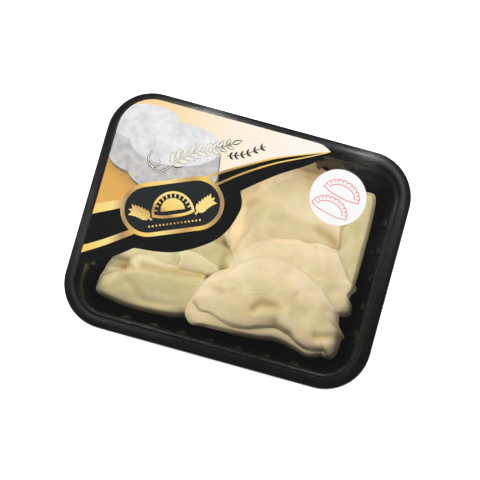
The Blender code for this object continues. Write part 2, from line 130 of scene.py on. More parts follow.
# Narrow strips that only show as sheens on the flange.
for name, place, size, power in (
    ("sheen_back_left", (-0.109, 0.262, 1.045), (0.020, 0.05), 0.40),
    ("sheen_back_right", (0.075, 0.262, 1.045), (0.020, 0.05), 0.34),
    ("sheen_left", (-0.215, 0.09, 1.045), (0.04, 0.22), 0.20),
    ("sheen_right", (0.123, 0.168, 1.045), (0.03, 0.09), 0.040),
):
    strip_lamp = soft_box(name, place, size, power)
    strip_lamp.visible_diffuse = False

# A white tent all round, brighter higher up and open over the camera.
TENT_FOOT_BRIGHTNESS = 0.25
TENT_RISE = 2.3
TENT_EDGE = (0.90, 0.955)
TENT_OPENING_BRIGHTNESS = 0.02

world = bpy.data.worlds.new("white_tent")
bpy.context.scene.world = world
world.use_nodes = True
sky = world.node_tree
direction = node(sky, "ShaderNodeTexCoord")
heights = node(sky, "ShaderNodeSeparateXYZ")
opening = node(
    sky, "ShaderNodeMapRange", interpolation_type="SMOOTHSTEP",
    From_Min=TENT_EDGE[0], From_Max=TENT_EDGE[1], To_Min=1.0, To_Max=TENT_OPENING_BRIGHTNESS,
)
squared = node(sky, "ShaderNodeMath", operation="POWER")
squared.inputs[1].default_value = 2.0
walls = node(sky, "ShaderNodeMath", operation="MULTIPLY_ADD")
walls.inputs[1].default_value = TENT_RISE
walls.inputs[2].default_value = TENT_FOOT_BRIGHTNESS
tent = node(sky, "ShaderNodeMath", operation="MULTIPLY")
join(
    sky,
    (direction, "Generated", heights, "Vector"),
    (heights, "Z", opening, "Value"),
    (heights, "Z", squared, 0),
    (squared, "Value", walls, 0),
    (walls, "Value", tent, 0),
    (opening, "Result", tent, 1),
    (tent, "Value", sky.nodes["Background"], "Strength"),
)

FLOOR_HALF = 4.0
floor_corners = [(x * FLOOR_HALF, y * FLOOR_HALF, 0.0) for x, y in ((-1, -1), (1, -1), (1, 1), (-1, 1))]
floor_mesh = bpy.data.meshes.new("floor")
floor_mesh.from_pydata(floor_corners, [], [(0, 1, 2, 3)])
floor = bpy.data.objects.new("floor", floor_mesh)
bpy.context.scene.collection.objects.link(floor)
paper = bpy.data.materials.new("white_floor")
paper.use_nodes = True
settle(
    paper.node_tree.nodes["Principled BSDF"],
    Base_Color=(0.93, 0.93, 0.93, 1.0),
    Roughness=0.8,
    Specular_IOR_Level=0.1,
    Emission_Color=(1.0, 1.0, 1.0, 1.0),
    Emission_Strength=1.0,
)
floor.data.materials.append(paper)

bpy.context.scene.view_settings.view_transform = "Standard"
bpy.context.scene.view_settings.look = "None"

# --------------------------------------------------------------------------------------------- the tray
# Black polypropylene, drawn into a mould in one sheet. Upright ribs stiffen its walls, a flat flange takes
# the film and turns down at its edge, and a ring under the floor is its foot.

low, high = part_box("tray")
TRAY_LENGTH = (high[0] - low[0]) / MM
TRAY_WIDTH = (high[1] - low[1]) / MM
TRAY_HEIGHT = high[2] / MM
TRAY_CORNER = 28.0
TRAY_WALL = 0.8
FLANGE_INSET = 6.8
RIB_PITCH = 17.5
RIB_DEPTH = 1.6
RIB_HALF_FOOT = 3.6
RIB_HALF_CREST = 1.2
RIB_TOP = TRAY_HEIGHT - 8.0
RIB_TOP_FADE = 1.2
RIB_FOOT_FADE = (3.0, 9.0)
LONG_SIDE_RIBS = 3
SHORT_SIDE_RIBS = 2
LEAST_CORNER = 6.0

# The inner surface's corners from the lip to the middle of the floor: inset, height and rounding.
TRAY_PATH = (
    (0.0, TRAY_HEIGHT - 3.0, 0.0),
    (0.35, TRAY_HEIGHT, 0.9),
    (FLANGE_INSET, TRAY_HEIGHT, 0.5),
    (7.5, TRAY_HEIGHT - 2.8, 0.6),
    (9.9, TRAY_HEIGHT - 2.9, 0.7),
    (11.0, TRAY_HEIGHT - 9.0, 3.0),
    (16.3, 5.5, 4.0),
    (20.5, TRAY_WALL, 5.0),
    (27.6, TRAY_WALL, 0.8),
    (29.0, TRAY_WALL + 1.4, 0.8),
    (34.0, TRAY_WALL + 1.4, 0.0),
)


def rounded_path(corners, steps=6):
    """The points of a path, each corner rounded off over the distance that it states."""
    points = [np.array(corners[0][:2], float)]
    for before, corner, after in zip(corners, corners[1:], corners[2:]):
        here, reach = np.array(corner[:2], float), corner[2]
        ends = []
        for other in (before, after):
            way = np.array(other[:2]) - here
            length = np.linalg.norm(way)
            ends.append(here + way / length * min(reach, 0.48 * length))
        for t in np.linspace(0.0, 1.0, steps):
            points.append((1 - t) ** 2 * ends[0] + 2 * t * (1 - t) * here + t * t * ends[1])
    points.append(np.array(corners[-1][:2], float))
    return points


def smooth_step(share):
    """0 to 1 with a soft start and end."""
    share = np.clip(share, 0.0, 1.0)
    return share * share * (3 - 2 * share)


def rib_stand(along, count):
    """How far out of the wall the ribs of one side stand at a distance along it, from 0 to 1."""
    nearest = np.clip(np.round(along / RIB_PITCH), -count, count) * RIB_PITCH
    return 1 - smooth_step((np.abs(along - nearest) - RIB_HALF_CREST) / (RIB_HALF_FOOT - RIB_HALF_CREST))


def tray_ring(inset, height, steps_straight=110, steps_corner=14):
    """The whole outline of the tray at one inset and height, anticlockwise from the right side's middle."""
    half_x = TRAY_LENGTH / 2 - inset
    half_y = TRAY_WIDTH / 2 - inset
    radius = max(TRAY_CORNER - inset, LEAST_CORNER)
    long_half, short_half = half_x - radius, half_y - radius
    foot, full = RIB_FOOT_FADE
    fade = smooth_step((RIB_TOP - height) / RIB_TOP_FADE) * smooth_step((height - foot) / (full - foot))
    points = []
    for side in range(4):
        turn = side * math.pi / 2
        half, reach = (short_half, half_x) if side % 2 == 0 else (long_half, half_y)
        ribs = SHORT_SIDE_RIBS if side % 2 == 0 else LONG_SIDE_RIBS
        along = np.linspace(-half, half, steps_straight)
        out = reach - RIB_DEPTH * fade * rib_stand(along, ribs)
        corner = np.linspace(0, math.pi / 2, steps_corner + 2)[1:-1]
        out = np.concatenate([out, reach - radius + radius * np.cos(corner)])
        along = np.concatenate([along, half + radius * np.sin(corner)])
        x = out * math.cos(turn) - along * math.sin(turn)
        y = out * math.sin(turn) + along * math.cos(turn)
        points.append(np.stack([x, y, np.full_like(x, height)], axis=1))
    return np.concatenate(points)


def grid_faces(rows, columns):
    """Quads between rings of points that follow one another."""
    faces = []
    for row in range(rows - 1):
        start, below = row * columns, (row + 1) * columns
        for i in range(columns):
            after = (i + 1) % columns
            faces.append((start + i, below + i, below + after, start + after))
    return faces


def mesh_object(name, points, faces, material, smooth=True):
    """A new object from points in millimetres."""
    mesh = bpy.data.meshes.new(name)
    mesh.from_pydata([tuple(c * MM for c in point) for point in points], [], faces)
    mesh.materials.append(material)
    if smooth:
        mesh.shade_smooth()
    made = bpy.data.objects.new(name, mesh)
    bpy.context.scene.collection.objects.link(made)
    return made


def new_material(name, colour, roughness):
    """A material with a Principled BSDF: (material, its node tree, the shader)."""
    made = bpy.data.materials.new(name)
    made.use_nodes = True
    shader = made.node_tree.nodes["Principled BSDF"]
    settle(shader, Base_Color=(*colour, 1.0), Roughness=roughness)
    return made, made.node_tree, shader


def unevenness_group():
    """Slow swells and a fine grain, which a drawn sheet, a lid film and a print all have."""
    group = bpy.data.node_groups.new("unevenness", "ShaderNodeTree")
    for name, value in (("Swell size", 60.0), ("Grain size", 900.0), ("Grain share", 0.1)):
        socket = group.interface.new_socket(name, in_out="INPUT", socket_type="NodeSocketFloat")
        socket.default_value = value
    group.interface.new_socket("Height", in_out="OUTPUT", socket_type="NodeSocketFloat")
    start = node(group, "NodeGroupInput")
    end = node(group, "NodeGroupOutput")
    place = node(group, "ShaderNodeTexCoord")
    swell = node(group, "ShaderNodeTexNoise", Detail=2.0)
    grain = node(group, "ShaderNodeTexNoise", Detail=3.0)
    mixed = node(group, "ShaderNodeMix", data_type="FLOAT")
    join(
        group,
        (place, "Object", swell, "Vector"),
        (start, "Swell size", swell, "Scale"),
        (place, "Object", grain, "Vector"),
        (start, "Grain size", grain, "Scale"),
        (start, "Grain share", mixed, "Factor"),
        (swell, "Fac", mixed, "A"),
        (grain, "Fac", mixed, "B"),
        (mixed, "Result", end, "Height"),
    )
    return group


unevenness = unevenness_group()


def add_unevenness(tree, shader, swell, grain, share, height, strength=0.3):
    """Feeds the unevenness group through a Bump node into the shader's normal."""
    uneven = node(tree, "ShaderNodeGroup", node_tree=unevenness)
    settle(uneven, Swell_size=swell, Grain_size=grain, Grain_share=share)
    bump = node(tree, "ShaderNodeBump", Strength=strength, Distance=height * MM)
    join(tree, (uneven, "Height", bump, "Height"), (bump, "Normal", shader, "Normal"))
    return uneven


def ranged(tree, source, low_value, high_value):
    """A noise, which mostly lies in 0.3..0.7, mapped to between two values."""
    made = node(tree, "ShaderNodeMapRange", From_Min=0.3, From_Max=0.7, To_Min=low_value, To_Max=high_value)
    tree.links.new(source, made.inputs["Value"])
    return made.outputs["Result"]


def tray_plastic():
    """Glossy black polypropylene with the slight waviness of a drawn sheet."""
    made, tree, shader = new_material("black_tray_plastic", (0.005, 0.0057, 0.005), 0.2)
    shader.inputs["Specular IOR Level"].default_value = 0.18
    uneven = add_unevenness(tree, shader, 45.0, 1400.0, 0.12, 0.25)
    tree.links.new(ranged(tree, uneven.outputs["Height"], 0.12, 0.20), shader.inputs["Roughness"])
    return made


path = rounded_path(TRAY_PATH)
rings = [tray_ring(inset, height) for inset, height in path]
columns = len(rings[0])
tray_faces = grid_faces(len(rings), columns)
tray_faces.append(tuple(range((len(rings) - 1) * columns, len(rings) * columns)))
tray = mesh_object("tray_shell", np.concatenate(rings), tray_faces, tray_plastic())
wall = tray.modifiers.new("wall", "SOLIDIFY")
wall.thickness = TRAY_WALL * MM
wall.offset = 1.0
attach(tray, "root")
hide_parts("tray")

# --------------------------------------------------------------------------------------- the dumplings
# Rounds of boiled wheat dough folded over a curd filling and pinched shut by hand: half moons with a thin
# rim on the round side. They are soft, so each one drapes over those under it and flattens below the film.

# The middle of each one's folded side, the turn of its rim from +Y, its length, its depth from fold to rim,
# how far the fold bulges, its height, the height of the fold's edge, its rim's width, how round the rim's
# curve is (2 is an ellipse), how high its top may come under the film and a number that varies its lumps.
# They are listed from the lowest to the one on top, and all lengths are in millimetres.
PIEROGI = {
    "pierog_lower_left": ((-33.0, -21.0), 4.0, 83.0, 42.0, 7.0, 40.0, 14.0, 9.0, 2.1, 38.5, 13),
    "pierog_lower_back": ((-38.0, 50.0), 181.0, 78.0, 36.0, 5.0, 25.0, 10.0, 10.0, 2.0, 33.0, 21),
    "pierog_left": ((-35.0, -47.5), 0.0, 84.0, 36.5, 7.0, 29.0, 10.5, 12.0, 2.5, 40.0, 8),
    "pierog_right": ((69.0, 14.0), 90.0, 76.0, 40.0, 6.6, 42.0, 22.0, 10.0, 2.0, 39.0, 5),
    "pierog_lower_front": ((27.0, -46.0), 2.0, 94.0, 37.0, 8.5, 34.0, 10.0, 9.0, 1.6, 38.0, 3),
    "pierog_back": ((33.0, 17.5), 47.0, 90.0, 45.0, 14.0, 24.0, 1.0, 8.0, 1.6, 39.0, 34),
    "pierog_middle": ((37.5, -25.0), 5.0, 82.0, 37.5, 6.0, 24.0, 0.6, 4.5, 2.2, 40.0, 55),
    "pierog_front": ((29.3, -42.0), -3.0, 94.5, 40.0, 7.0, 16.5, 0.6, 9.0, 1.7, 43.5, 89),
}

# Where a folded side swells out (or in, below 0): distance along the fold, how wide and how far.
FOLD_WAVES = {
    "pierog_front": (
        (-42.0, 5.0, 3.0), (-18.0, 13.0, 3.0), (-2.0, 5.0, -2.0), (7.0, 5.0, -4.5),
        (15.0, 5.0, -2.5), (30.0, 8.0, 3.2), (45.0, 4.0, 6.0),
    ),
    "pierog_left": ((-12.0, 14.0, 1.0), (18.0, 8.0, -2.0)),
    "pierog_lower_front": ((-42.0, 5.0, 2.0), (10.0, 10.0, -2.0), (32.0, 7.0, 3.0), (45.0, 4.0, 5.0)),
    "pierog_back": ((14.5, 6.5, 11.0),),
}

# Where a rim stands out (or in): its bearing and how wide, in degrees, and how far.
RIM_WAVES = {
    "pierog_middle": ((20.0, 5.0, 2.5), (9.0, 4.0, -2.5), (58.0, 12.0, 2.5)),
    "pierog_lower_front": ((13.0, 4.0, 1.6), (25.0, 5.0, -1.0)),
    "pierog_right": ((28.0, 5.0, -1.5), (15.0, 6.0, 1.0)),
    "pierog_back": ((48.0, 12.0, 2.5),),
    "pierog_front": ((13.0, 3.5, 2.4), (21.0, 4.0, -1.2), (140.0, 8.0, -2.0)),
}

# Creases in a dumpling's top, and swellings, below 0: a line's points in the tray, how wide and how deep.
CREASES = {
    "pierog_front": (
        (((20.5, -37.5), (22.0, -35.2), (24.5, -33.6), (28.0, -32.8), (31.0, -33.0)), 2.5, 2.2),
        (((24.5, -38.5), (29.0, -38.5)), 4.0, -0.9),
        (((34.5, -35.0), (35.0, -38.0), (34.3, -40.5)), 2.4, 0.7),
        (((34.0, -41.5), (35.5, -43.0), (39.0, -44.8), (45.0, -46.5)), 1.8, 1.8),
        (((40.0, -38.0), (43.0, -41.0)), 5.0, -0.8),
        (((61.0, -43.5), (76.0, -39.0)), 2.6, 1.8),
        (((-9.0, -30.5), (-2.0, -33.5)), 2.2, 0.8),
        (((42.0, -25.0), (47.0, -31.0)), 4.0, 0.6),
        (((62.0, -28.0), (63.0, -33.0)), 3.0, 0.7),
    ),
    "pierog_left": (
        (((-51.0, -29.5), (-40.0, -29.0), (-30.0, -27.5), (-17.0, -26.0)), 2.6, 1.9),
        (((-71.0, -38.0), (-63.0, -38.5), (-57.0, -41.5), (-52.0, -45.0), (-49.0, -48.0)), 2.8, 0.8),
        (((-46.0, -50.0), (-38.0, -49.2), (-28.0, -47.0)), 2.4, 0.8),
        (((-63.0, -34.0), (-63.0, -36.0)), 1.6, 0.8),
    ),
    "pierog_lower_left": ((((-3.5, -8.0), (-5.5, -13.0), (-4.5, -19.0)), 2.2, 1.6),),
    "pierog_back": (
        (((47.0, 19.0), (52.0, 18.0), (57.0, 14.5)), 3.2, 2.6),
        (((0.0, 27.0), (3.0, 29.0)), 3.0, 1.2),
    ),
}

# The dough, in millimetres: its thickness, its fold and how it sags over what lies under it.
RIM_THICKNESS = 2.4
RIM_EDGE = 0.7
RIM_TAPER = 6.0
LEAST_THICKNESS = 1.4
RIM_EDGE_ROLL = 0.6
FOLD_UNDERCUT = 5.0
FOLD_SQUARENESS = 3.6
FOLD_FULLNESS = 2.3
LYING_RISE = 0.85
RESTING_RISE = 0.5
TIP_FALL = 0.3
LYING_EDGE = 8.0
SAG_REACH = 8.0
SAG_MOST = 2.0
MIDDLE_SHARE = 0.36
SPINE_SHARE = 0.42
# The finger marks along the rim, and the dough's lumps and wrinkles.
CRIMP_PITCH = 13.0
CRIMP_DEPTH = 0.3
PINCH_DEPTH = 0.5
GATHER_HEIGHT = 0.12
WRINKLE_HEIGHT = 0.10
WRINKLE_SIZE = 4.0
LUMP_HEIGHT = 0.55
LUMP_SIZES = (13.0, 7.0)
RELIEF_FADE = 2.5
# DEEP_CREASE is how deep a crease must be for the painted shade in it to be full.
DEEP_CREASE = 3.0
# How finely each dumpling is meshed, and how finely its top is spread over the pile's grid.
AROUND = 260
TOP_LEVELS = 34
UNDER_LEVELS = 12
SPREAD_AROUND = 1400
SPREAD_LEVELS = 170
# The pile's grid, the skins that drape over it and how the dumplings touch each other and the film.
CELL = 1.0
DRAPE_BLUR = 2.4
BELLY_ROUNDS = 30
RIM_ROUNDS = 14
WALL_REACH = 12.0
CLEARANCE = 0.3
CROWDED_ROOM = 12.0
STICK_DEPTH = 1.7
STICK_REACH = 3.0
EASE = 0.8
EASE_ROUNDS = 3


def waves(u, v, size, seed):
    """A smooth uneven field between about -1 and 1, whose swells are about this size."""
    total = 0.0
    for turn, stretch, weight in ((0.4, 1.0, 0.4), (1.7, 1.31, 0.3), (2.9, 0.77, 0.3), (4.4, 1.83, 0.2)):
        way = u * math.cos(turn + seed) + v * math.sin(turn + seed)
        cross = v * math.cos(turn + seed) - u * math.sin(turn + seed)
        bend = 0.8 * np.sin(cross / size + seed) + 2 * seed
        total = total + weight * np.sin(stretch * way * math.pi / size + bend)
    return total


class Pierog:
    """One dumpling's shape in its own frame, with u along the fold and v towards the rim.

    A place on it is given by its bearing, which runs round the outline from the tip on +u by way of the rim,
    and by its distance in from the outline.
    """

    def __init__(self, name, settings):
        self.name = name
        self.place, turn, self.length, self.depth, self.bulge, self.height, self.edge = settings[:7]
        self.rim, self.roundness, self.ceiling, self.variety = settings[7:]
        self.turn = math.radians(turn)
        self.waves = FOLD_WAVES.get(name, ())
        self.rim_waves = RIM_WAVES.get(name, ())
        self.creases = CREASES.get(name, ())
        self.crimps = round(math.pi * self.length / 2 / CRIMP_PITCH)

    def outline(self, bearing):
        """The outline's (u, v): a rounded half moon, made a little uneven."""
        cos, sin = np.cos(bearing), np.sin(bearing)
        squareness = np.where(sin > 0, self.roundness, FOLD_SQUARENESS)
        u = self.length / 2 * np.sign(cos) * np.abs(cos) ** (2 / squareness)
        v = np.where(sin > 0, self.depth, -self.bulge) * np.abs(sin) ** (2 / squareness)
        on_fold = np.where(sin < 0, np.abs(sin) ** 0.5, 0.0)
        for where, width, amount in self.waves:
            v = v - amount * np.exp(-(((u - where) / width) ** 2)) * on_fold
        uneven = 0.012 * np.sin(3 * bearing + self.variety) + 0.010 * np.sin(5 * bearing + 2.1 * self.variety)
        crimp = CRIMP_DEPTH * np.cos(2 * self.crimps * bearing) * self.rim_share(v)
        for where, width, amount in self.rim_waves:
            crimp = crimp + amount * np.exp(-(((np.degrees(bearing) - where) / width) ** 2))
        middle = MIDDLE_SHARE * self.depth
        grow = 1 + uneven + crimp / np.hypot(u, v - middle)
        return u * grow, middle + (v - middle) * grow

    def rim_share(self, v):
        """1 where the edge is pressed flat, 0 along the fold."""
        return smooth_step((v - 0.10 * self.depth) / (0.35 * self.depth))

    def spot(self, bearing, inward):
        """(u, v) at a distance in from the outline, on the way to the spine, and that way's whole length."""
        u, v = self.outline(bearing)
        to_u = SPINE_SHARE * u - u
        to_v = MIDDLE_SHARE * self.depth - v
        whole = np.hypot(to_u, to_v)
        share = np.clip(inward / whole, 0.0, 1.0)
        return u + to_u * share, v + to_v * share, whole

    def hollows(self, u, v):
        """How far the creases sink the top at a place, and how far the swellings raise it."""
        x, y = self.in_tray(u, v)
        sunk = np.zeros(np.broadcast(x, y).shape)
        raised = sunk.copy()
        for line, width, depth in self.creases:
            off = np.full(sunk.shape, np.inf)
            for (x0, y0), (x1, y1) in zip(line, line[1:]):
                square = (x1 - x0) ** 2 + (y1 - y0) ** 2
                along = np.clip(((x - x0) * (x1 - x0) + (y - y0) * (y1 - y0)) / square, 0, 1)
                off = np.minimum(off, np.hypot(x - x0 - along * (x1 - x0), y - y0 - along * (y1 - y0)))
            amount = depth * np.exp(-((off / width) ** 2))
            sunk = sunk + np.maximum(amount, 0.0)
            raised = raised - np.minimum(amount, 0.0)
        return sunk, raised

    def heights(self, bearing, inward):
        """Heights over what the dumpling lies on: of its underside and its smooth top, then the relief on
        that top, how deep its creases are, and how much of the place is rim."""
        _, edge_v = self.outline(bearing)
        pressed = self.rim_share(edge_v)
        u, v, whole = self.spot(bearing, inward)
        height = self.height * (1 - TIP_FALL * np.clip(np.abs(u) / (self.length / 2), 0, 1) ** 4)
        edge = self.edge * (1 - pressed) + RIM_EDGE / 2 * pressed
        roll = np.sqrt(np.clip(inward / RIM_EDGE_ROLL, 0, 1))
        taper = smooth_step(inward / RIM_TAPER)
        under = edge * (1 - np.clip(inward / FOLD_UNDERCUT, 0, 1)) ** 2.2 * (1 - pressed)
        under = under + pressed * RIM_EDGE / 2 * (1 - roll)
        seam = self.rim * pressed * (1 + 0.15 * np.sin(4 * bearing + self.variety))
        share = np.clip((inward - seam) / (whole - seam), 0.0, 1.0)
        rise = LYING_RISE if self.edge < LYING_EDGE else RESTING_RISE
        from_fold = (1 - (1 - share) ** FOLD_FULLNESS) ** rise
        from_rim = np.sin(math.pi / 2 * share**0.8) ** 1.1
        dome = from_fold + (from_rim - from_fold) * pressed
        rim_top = pressed * (RIM_EDGE / 2 * roll + (RIM_THICKNESS - RIM_EDGE) * taper)
        top = edge + rim_top + (height - edge - rim_top) * dome
        beat = np.cos(2 * self.crimps * bearing + 0.8 * np.sin(3 * bearing + self.variety))
        pinch = np.exp(-(((inward - 0.5 * self.rim) / (0.3 * self.rim)) ** 2)) * pressed
        gather = np.exp(-(((inward - 1.15 * self.rim) / (0.45 * self.rim)) ** 2)) * pressed
        sunk, raised = self.hollows(u, v)
        big, small = LUMP_SIZES
        lumps = LUMP_HEIGHT * (waves(u, v, big, self.variety) + 0.6 * waves(u, v, small, 2.0 * self.variety))
        relief = (lumps + raised - sunk) * smooth_step(inward / RELIEF_FADE)
        relief = relief - PINCH_DEPTH * pinch * np.clip(beat, 0, 1) + GATHER_HEIGHT * gather * beat
        relief = relief + WRINKLE_HEIGHT * waves(u, v, WRINKLE_SIZE, self.variety) * roll
        rim_only = pressed * (1 - np.clip((inward - 0.4 * self.rim) / (0.7 * self.rim), 0, 1))
        return under, top, relief, sunk, rim_only

    def in_tray(self, u, v):
        """(x, y) in the tray of a place on the dumpling."""
        cos, sin = math.cos(self.turn), math.sin(self.turn)
        return self.place[0] + u * cos - v * sin, self.place[1] + u * sin + v * cos


def tray_inside(x, y):
    """Height of the tray's inner surface, clear of its ribs."""
    half_x, half_y = TRAY_LENGTH / 2, TRAY_WIDTH / 2
    dx = np.maximum(np.abs(x) - (half_x - TRAY_CORNER), 0.0)
    dy = np.maximum(np.abs(y) - (half_y - TRAY_CORNER), 0.0)
    inset = np.minimum(half_x - np.abs(x), half_y - np.abs(y))
    inset = np.where((dx > 0) & (dy > 0), TRAY_CORNER - np.hypot(dx, dy), inset)
    within = TRAY_PATH[2:]
    return np.interp(inset - RIB_DEPTH, [step[0] for step in within], [step[1] for step in within])


class Pile:
    """The free surface of what already lies in the tray, as heights on a grid."""

    def __init__(self):
        self.xs = np.arange(-TRAY_LENGTH / 2, TRAY_LENGTH / 2 + CELL / 2, CELL)
        self.ys = np.arange(-TRAY_WIDTH / 2, TRAY_WIDTH / 2 + CELL / 2, CELL)
        self.inside = tray_inside(*np.meshgrid(self.xs, self.ys, indexing="ij"))
        self.top = self.inside.copy()

    def draped(self, rounds):
        """A skin over the surface: each round lets it bridge hollows a little further."""
        reach = math.ceil(3 * DRAPE_BLUR / CELL)
        weights = np.exp(-0.5 * (np.arange(-reach, reach + 1) * CELL / DRAPE_BLUR) ** 2)
        weights /= weights.sum()
        floor = np.where(self.inside < WALL_REACH, self.top, np.minimum(self.top, WALL_REACH))
        skin = floor
        for k in range(rounds + EASE_ROUNDS):
            wide = np.pad(skin, reach, mode="edge")
            wide = sum(w * wide[i : i + skin.shape[0]] for i, w in enumerate(weights))
            wide = sum(w * wide[:, i : i + skin.shape[1]] for i, w in enumerate(weights))
            skin = np.maximum(floor, wide) if k < rounds else wide
        return skin

    def read(self, field, x, y):
        """A field of this grid at any place, read as a smooth cubic surface."""
        i = np.clip((x - self.xs[0]) / CELL, 1, len(self.xs) - 2.001)
        j = np.clip((y - self.ys[0]) / CELL, 1, len(self.ys) - 2.001)
        i0, j0 = i.astype(int), j.astype(int)
        total = 0.0
        for a, wa in enumerate(cubic_weights(i - i0)):
            for b, wb in enumerate(cubic_weights(j - j0)):
                rows = np.clip(i0 + a - 1, 0, len(self.xs) - 1)
                total = total + wa * wb * field[rows, np.clip(j0 + b - 1, 0, len(self.ys) - 1)]
        return total

    def cover(self, x, y, height):
        """Raises the surface to these heights at these places."""
        i = np.clip(np.rint((x - self.xs[0]) / CELL).astype(int), 0, len(self.xs) - 1)
        j = np.clip(np.rint((y - self.ys[0]) / CELL).astype(int), 0, len(self.ys) - 1)
        np.maximum.at(self.top, (i, j), height)


def cubic_weights(t):
    """The weights of the four points round a place, as in a B-spline."""
    first, last = (1 - t) ** 3 / 6, t**3 / 6
    return first, (3 * t**3 - 6 * t**2 + 4) / 6, (-3 * t**3 + 3 * t**2 + 3 * t + 1) / 6, last


def pressed_flat(height, ceiling):
    """Heights in the last CROWDED_ROOM below the ceiling close up, so that nothing passes it."""
    over = np.maximum(height - (ceiling - CROWDED_ROOM), 0.0)
    return np.minimum(height, ceiling - CROWDED_ROOM) + over * CROWDED_ROOM / (over + CROWDED_ROOM)


def higher_of(one, other):
    """The higher of two surfaces, eased where they cross."""
    return (one + other + np.sqrt((one - other) ** 2 + EASE**2)) / 2 - 0.1 * EASE


def level_steps(pierog, bearing, levels):
    """Distances in from the outline, closer together near it: one row for each level."""
    whole = pierog.spot(bearing, 0.0)[2]
    return np.linspace(0.0, 1.0, levels)[:, None] ** 1.5 * 0.985 * whole[None, :]


def lay_surface(pierog, pile, skins, bearing, inward):
    """(x, y, bottom, top, how much is belly, how much is crease) of a draped dumpling at these places.

    The belly drapes stiffly and the rim softly. The underside follows what is there, and its edge sticks.
    """
    under, top, relief, sunk, rim_only = pierog.heights(bearing, inward)
    x, y = pierog.in_tray(*pierog.spot(bearing, inward)[:2])
    stiff, soft, raw = (pile.read(field, x, y) for field in (*skins, pile.top))
    base = stiff + (soft - stiff) * rim_only + CLEARANCE
    on_fold = 1 - pierog.rim_share(pierog.outline(bearing)[1])
    hanging = on_fold * np.clip(1 - inward / SAG_REACH, 0, 1) ** 1.5
    base = base - (pierog.edge < LYING_EDGE) * hanging * np.clip(stiff - raw, 0, SAG_MOST)
    stuck = STICK_DEPTH * (1 - smooth_step(inward / STICK_REACH))
    thickness = np.minimum(top - under, LEAST_THICKNESS)
    free = pressed_flat(base + top, pierog.ceiling) + relief
    bottom = np.maximum(np.minimum(base + under, free - thickness), raw + CLEARANCE) - stuck
    upper = higher_of(free - stuck, bottom + thickness)
    belly = np.clip((top - RIM_THICKNESS) / pierog.height, 0, 1)
    return x, y, bottom, upper, belly, np.clip(sunk / DEEP_CREASE, 0, 1)


def lay_pierog(pierog, pile, material):
    """Builds one dumpling over the pile and adds its top to the pile."""
    skins = pile.draped(BELLY_ROUNDS), pile.draped(RIM_ROUNDS)
    bearing = np.arange(AROUND) / AROUND * math.tau
    top_steps = level_steps(pierog, bearing, TOP_LEVELS)
    under_steps = level_steps(pierog, bearing, UNDER_LEVELS)
    x, y, _, upper, belly, crease = lay_surface(pierog, pile, skins, bearing[None, :], top_steps)
    ux, uy, lower = lay_surface(pierog, pile, skins, bearing[None, :], under_steps)[:3]
    edge = (upper[0] + lower[0]) / 2
    rows = [np.stack([x[k], y[k], upper[k]], axis=1) for k in range(TOP_LEVELS - 1, 0, -1)]
    rows.append(np.stack([x[0], y[0], edge], axis=1))
    rows += [np.stack([ux[k], uy[k], lower[k]], axis=1) for k in range(1, UNDER_LEVELS)]
    faces = grid_faces(len(rows), AROUND)
    # The innermost rings close along the spine, across from one side to the other.
    for ring, flip in ((0, False), (len(rows) - 1, True)):
        for k in range(AROUND // 2):
            face = [ring * AROUND + i % AROUND for i in (k, k + 1, AROUND - k - 1, AROUND - k)]
            face = list(dict.fromkeys(face))
            if len(face) > 2:
                faces.append(tuple(reversed(face)) if flip else tuple(face))
    made = mesh_object(pierog.name + "_dough", np.concatenate(rows), faces, material)
    # The crease share also sets how much painted shade the dough gets in its creases.
    for name, field in (("filling", belly), ("crease", crease)):
        values = list(field[::-1]) + [field[0]] * (UNDER_LEVELS - 1)
        attribute = made.data.attributes.new(name, "FLOAT", "POINT")
        attribute.data.foreach_set("value", np.concatenate(values).astype(np.float32))
    dense = np.arange(SPREAD_AROUND) / SPREAD_AROUND * math.tau
    spread = lay_surface(pierog, pile, skins, dense[None, :], level_steps(pierog, dense, SPREAD_LEVELS))
    pile.cover(spread[0].ravel(), spread[1].ravel(), spread[3].ravel())
    return made


# The brown of the painted shade in crevices and creases.
PAINTED_CREVICE_SHADE = (0.50, 0.36, 0.12, 1.0)


